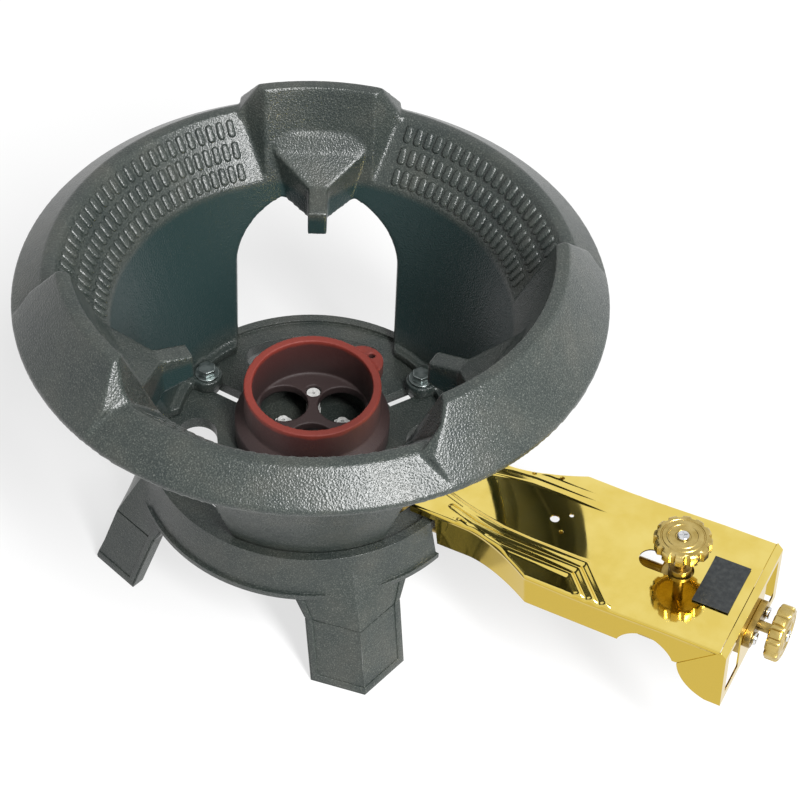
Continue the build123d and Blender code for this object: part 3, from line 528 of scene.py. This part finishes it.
frameLines = []
for share, low in ((legs["outer"], legs["lowOuter"]), (legs["inner"], legs["lowInner"])):
    line = [onLeg(-share, height) for height in legs["stations"] + (low,)]
    line.append(onLeg(0, low))
    line += [onLeg(share, height) for height in (low,) + legs["stations"][::-1]]
    frameLines.append(line)
frameSpans = len(frameLines[0]) - 1
bpy.ops.mesh.primitive_grid_add(x_subdivisions=frameSpans, y_subdivisions=1, size=2)
legFrame = bpy.context.object
for vertex in legFrame.data.vertices:
    station = round((vertex.co.x + 1) / 2 * frameSpans)
    vertex.co = frameLines[0 if vertex.co.y < 0 else 1][station]
applyModifier(legFrame, "thicken", "SOLIDIFY", thickness=legs["sheet"], offset=0)
applyModifier(legFrame, "breakEdges", "BEVEL", width=legs["round"], segments=2, limit_method="ANGLE")
creaseLine = [onLeg(share, legs["knee"]) for share in (-legs["creaseWide"], 0, legs["creaseWide"])]
creaseCorners = [(x - legs["creaseDepth"], y) for x, y, _ in creaseLine]
creaseCorners += [(x + legs["creaseReach"], y) for x, y, _ in reversed(creaseLine)]
bpy.ops.mesh.primitive_circle_add(vertices=len(creaseCorners), radius=1, fill_type="NGON")
creaseCutter = bpy.context.object
for vertex, (x, y) in zip(creaseCutter.data.vertices, creaseCorners):
    vertex.co = (x, y, legs["knee"] - legs["creaseHigh"] / 2)
activate(creaseCutter)
bpy.ops.object.mode_set(mode="EDIT")
bpy.ops.mesh.select_all(action="SELECT")
bpy.ops.mesh.extrude_region_move(TRANSFORM_OT_translate={"value": (0, 0, legs["creaseHigh"])})
bpy.ops.mesh.select_all(action="SELECT")
bpy.ops.mesh.normals_make_consistent(inside=False)
bpy.ops.object.mode_set(mode="OBJECT")
frameCopies = []
creaseCutters = []
for angle in legs["angles"]:
    turn = burnerPlace @ Matrix.Rotation(math.radians(angle), 4, "Z")
    frameCopies.append(placedCopy(legFrame, "legPiece", turn))
    creaseCutters.append(placedCopy(creaseCutter, "legPiece", turn))
bpy.data.objects.remove(legFrame)
bpy.data.objects.remove(creaseCutter)
legFrames = joinCopies(frameCopies, "legFrames")
finishPiece(legFrames, hammeredPaint, "frame", smoothAngle=35)
print("leg frames made", len(legFrames.data.polygons))

# Small machined and bent pieces, and the base: the CAD form with broken edges

softened = {
    "base_casting": {"name": "castBase", "width": 0.0012, "slot": "iron_paint", "cutters": creaseCutters},
    "main_jets": {"name": "mainJets", "width": 0.0003, "slot": "zinc", "finish": "matt_zinc"},
    "pilot_jet": {"name": "pilotJet", "width": 0.0003, "slot": "zinc", "finish": "matt_zinc"},
    "ring_bolts": {"name": "ringBolts", "width": 0.0005, "slot": "zinc"},
    "ring_washers": {"name": "ringWashers", "width": 0.0003, "slot": "zinc"},
    "top_packing_nut": {"name": "topPackingNut", "width": 0.0004, "slot": "raw_brass"},
    "end_gland": {"name": "endGland", "width": 0.0004, "slot": "raw_brass"},
    "end_plate": {"name": "coverEndPlate", "width": 0.0003, "slot": "gold_sheet"},
    "gland_screws": {"name": "glandScrews", "width": 0.0010, "slot": "chrome"},
    "hose_barb": {"name": "hoseBarb", "width": 0.0003, "slot": "raw_brass"},
    "valve_body": {"name": "valveBody", "width": 0.0006, "slot": "raw_brass"},
}
edgeAngles = {"flat": math.radians(0.6), "broken": math.radians(38)}  # joins to dissolve, edges to break
for node, softer in softened.items():
    piece = copyNode(node, softer["name"])
    applyModifier(piece, "flatten", "DECIMATE", decimate_type="DISSOLVE", angle_limit=edgeAngles["flat"])
    applyModifier(piece, "breakEdges", "BEVEL", width=softer["width"], segments=2, limit_method="ANGLE",
                  angle_limit=edgeAngles["broken"])
    for cutter in softer.get("cutters", []):
        applyModifier(piece, "crease", "BOOLEAN", object=cutter, operation="DIFFERENCE", solver="EXACT")
        bpy.data.objects.remove(cutter)
    material = finishes[softer.get("finish", softer["slot"])]
    finishPiece(piece, material, "frame", [node], smoothAngle=35)
    applyModifier(piece, "evenShade", "WEIGHTED_NORMAL", keep_sharp=True)
print("small pieces softened")

# Knobs: fluted, with a rim, a ring line on the bare face and a hollow underside

knob = {"flutes": 12, "steps": 12, "fluteDepth": 0.0017, "fluteStart": 0.0136, "fluteEnd": 0.0158,
        "grooveStart": 0.05, "grooveSpan": 0.7, "gaps": {"top": 0.0232, "end": 0.013}}
knobRings = [  # radius and height of each turned edge, in millimetres
    (3.2, 4.0), (11.4, 4.0), (12.4, 3.4), (12.7, 0.7), (13.3, 0.0), (15.1, 0.0), (15.8, 0.5), (16.0, 1.2),
    (16.0, 3.6), (16.0, 6.2), (15.7, 7.0), (15.0, 7.7), (13.9, 8.0), (13.1, 8.1), (12.4, 8.1),
    (12.1, 7.7), (11.6, 7.7), (11.2, 8.1), (9.1, 8.15), (8.8, 8.45), (8.2, 8.45), (7.9, 8.05),
    (4.4, 7.95), (4.1, 7.65), (3.0, 7.65),
]
bpy.ops.mesh.primitive_circle_add(vertices=knob["flutes"] * knob["steps"], radius=knobRings[0][0] / 1000,
                                  location=(0, 0, 0))
flutedKnob = bpy.context.object
bpy.ops.object.mode_set(mode="EDIT")
bpy.ops.mesh.select_all(action="SELECT")
bpy.ops.transform.translate(value=(0, 0, knobRings[0][1] / 1000))
for (oldRadius, oldHeight), (newRadius, newHeight) in zip(knobRings, knobRings[1:]):
    bpy.ops.mesh.extrude_edges_move()
    growth = newRadius / oldRadius
    bpy.ops.transform.resize(value=(growth, growth, 1), center_override=(0, 0, 0))
    bpy.ops.transform.translate(value=(0, 0, (newHeight - oldHeight) / 1000))
bpy.ops.mesh.edge_face_add()
bpy.ops.mesh.select_all(action="SELECT")
bpy.ops.mesh.normals_make_consistent(inside=False)
bpy.ops.object.mode_set(mode="OBJECT")
for vertex in flutedKnob.data.vertices:
    reach = math.hypot(vertex.co.x, vertex.co.y)
    share = clamp((reach - knob["fluteStart"]) / (knob["fluteEnd"] - knob["fluteStart"]))
    phase = math.cos(math.atan2(vertex.co.y, vertex.co.x) * knob["flutes"])
    groove = clamp((phase - knob["grooveStart"]) / knob["grooveSpan"])
    groove = groove * groove * (3 - 2 * groove)  # eased at both ends
    shrink = 1 - knob["fluteDepth"] * share * groove / reach
    vertex.co.x *= shrink
    vertex.co.y *= shrink
stemPlaces = {}
for name in ("top", "end"):
    joint = joints[name + "_knob_turn"]
    axis = Vector(joint["axis"])
    across = armAlong if name == "top" else -armUp
    knobFoot = Vector(joint["pos_m"]) + axis * knob["gaps"][name]
    stemPlaces[name] = placeFrom(across, armSide, axis, knobFoot)
for name, place in stemPlaces.items():
    piece = placedCopy(flutedKnob, name + "FlutedKnob", place)
    finishPiece(piece, knobBrass, name + "_knob_body", [name + "_knob", name + "_knob_disc"],
                smoothAngle=42)
bpy.data.objects.remove(flutedKnob)
print("knobs made")

# Cross-recess screws on the knobs

crossScrew = {"radius": 0.0034, "height": 0.0017, "foot": 0.0076, "sides": 40, "dome": 0.0011,
              "domeAngle": 60, "arm": 0.0009, "reach": 0.0044, "depth": 0.0008, "turn": 0.5}
bpy.ops.mesh.primitive_cylinder_add(vertices=crossScrew["sides"], radius=crossScrew["radius"],
                                    depth=crossScrew["height"],
                                    location=(0, 0, crossScrew["foot"] + crossScrew["height"] / 2))
screwHead = bpy.context.object
bpy.ops.object.transform_apply(location=True, rotation=True, scale=True)
applyModifier(screwHead, "dome", "BEVEL", width=crossScrew["dome"], segments=4, limit_method="ANGLE",
              angle_limit=math.radians(crossScrew["domeAngle"]))
for turn in (0, math.pi / 2):
    bpy.ops.mesh.primitive_cube_add(size=1, rotation=(0, 0, turn + crossScrew["turn"]),
                                    location=(0, 0, crossScrew["foot"] + crossScrew["height"]))
    cutter = bpy.context.object
    cutter.scale = (crossScrew["reach"], crossScrew["arm"], crossScrew["depth"] * 2)
    bpy.ops.object.transform_apply(location=True, rotation=True, scale=True)
    applyModifier(screwHead, "recess", "BOOLEAN", object=cutter, operation="DIFFERENCE", solver="EXACT")
    bpy.data.objects.remove(cutter)
for name, place in stemPlaces.items():
    piece = placedCopy(screwHead, name + "KnobScrew", place)
    finishPiece(piece, finishes["chrome"], name + "_knob_body", [name + "_knob_screw"],
                smoothAngle=32)
bpy.data.objects.remove(screwHead)
print("knob screws made")

# Bare label plate: thin sheet whose two ends have curled up a little

label = {"middle": 0.2655, "halfLength": 0.0105, "halfWidth": 0.0175, "sheet": 0.0003, "curl": 0.0007,
         "curlPower": 4, "rest": 0.0001}
bpy.ops.mesh.primitive_grid_add(x_subdivisions=8, y_subdivisions=36, size=2)
curledLabel = bpy.context.object
curledLabel.name = "curledLabel"
for vertex in curledLabel.data.vertices:
    lift = label["curl"] * abs(vertex.co.y) ** label["curlPower"] + label["rest"]
    vertex.co = (label["middle"] + vertex.co.x * label["halfLength"], vertex.co.y * label["halfWidth"], lift)
applyModifier(curledLabel, "thicken", "SOLIDIFY", thickness=label["sheet"], offset=1)
curledLabel.data.transform(armPlace)
finishPiece(curledLabel, finishes["black_plate"], "frame", ["label_plate"], smoothAngle=40)
print("label made")

# Stage: a white floor that keeps the soft shadow, one tall soft light and a white surround

paper = {"size": 8, "drop": 0.0002, "away": (0.35, 1.1), "glow": (0.7, 1.0)}  # whiter towards its edges
bpy.ops.mesh.primitive_plane_add(size=paper["size"], location=(0, 0, -paper["drop"]))
floor = bpy.context.object
floor.name = "floor"
paleFloor, tree = newMaterial("paleFloor")
matt = addNode(tree, "ShaderNodeBsdfDiffuse", {"Color": linear("#7f7f7f")})
away = addNode(tree, "ShaderNodeVectorMath", {0: objectPlace(tree)}, operation="LENGTH").outputs["Value"]
whiter = ranged(tree, away, paper["away"], paper["glow"])
glow = addNode(tree, "ShaderNodeEmission", {"Color": linear("#ffffff"), "Strength": whiter})
both = addNode(tree, "ShaderNodeAddShader", {0: matt.outputs["BSDF"], 1: glow.outputs["Emission"]})
addNode(tree, "ShaderNodeOutputMaterial", {"Surface": both.outputs["Shader"]})
floor.data.materials.append(paleFloor)

world = bpy.data.worlds.new("studio")
bpy.context.scene.world = world
world.use_nodes = True
tree = world.node_tree
tree.nodes.clear()
rays = addNode(tree, "ShaderNodeLightPath", {}).outputs
seen = combined(tree, "MAXIMUM", rays["Is Camera Ray"], rays["Is Glossy Ray"])
seen = combined(tree, "MAXIMUM", seen, rays["Is Transmission Ray"])
soft = addNode(tree, "ShaderNodeBackground", {"Color": linear("#ffffff"), "Strength": 0.30})
white = addNode(tree, "ShaderNodeBackground", {"Color": linear("#ffffff"), "Strength": 1.0})
surround = addNode(tree, "ShaderNodeMixShader", {0: seen, 1: soft.outputs["Background"],
                                                 2: white.outputs["Background"]})
addNode(tree, "ShaderNodeOutputWorld", {"Surface": surround.outputs["Shader"]})

lamp = {"place": (1.34, -0.719, 1.728), "aim": (-0.07, 0, 0.2), "width": 0.42, "height": 2.0, "power": 125}
lampData = bpy.data.lights.new("tallLight", "AREA")
lampData.shape = "RECTANGLE"
lampData.energy = lamp["power"]
lampData.size = lamp["width"]
lampData.size_y = lamp["height"]
light = bpy.data.objects.new("tallLight", lampData)
light.location = lamp["place"]
aim = Vector(lamp["aim"]) - Vector(lamp["place"])
light.rotation_euler = aim.to_track_quat("-Z", "Y").to_euler()
bpy.context.scene.collection.objects.link(light)

viewer = {"place": (0.27184, -0.56324, 0.83108), "forward": (-0.30596, 0.60473, -0.73531),
          "right": (0.86805, 0.49439, 0.04540), "lens": 73.1, "sensor": 36, "farthest": 30}
cameraData = bpy.data.cameras.new("camera")
cameraData.lens = viewer["lens"]
cameraData.sensor_width = viewer["sensor"]
cameraData.clip_end = viewer["farthest"]
camera = bpy.data.objects.new("camera", cameraData)
forward = Vector(viewer["forward"]).normalized()
right = Vector(viewer["right"]).normalized()
camera.matrix_world = placeFrom(right, right.cross(forward), -forward, viewer["place"])
bpy.context.scene.collection.objects.link(camera)
bpy.context.scene.camera = camera
bpy.context.scene.view_settings.view_transform = "Standard"
print("stage set")
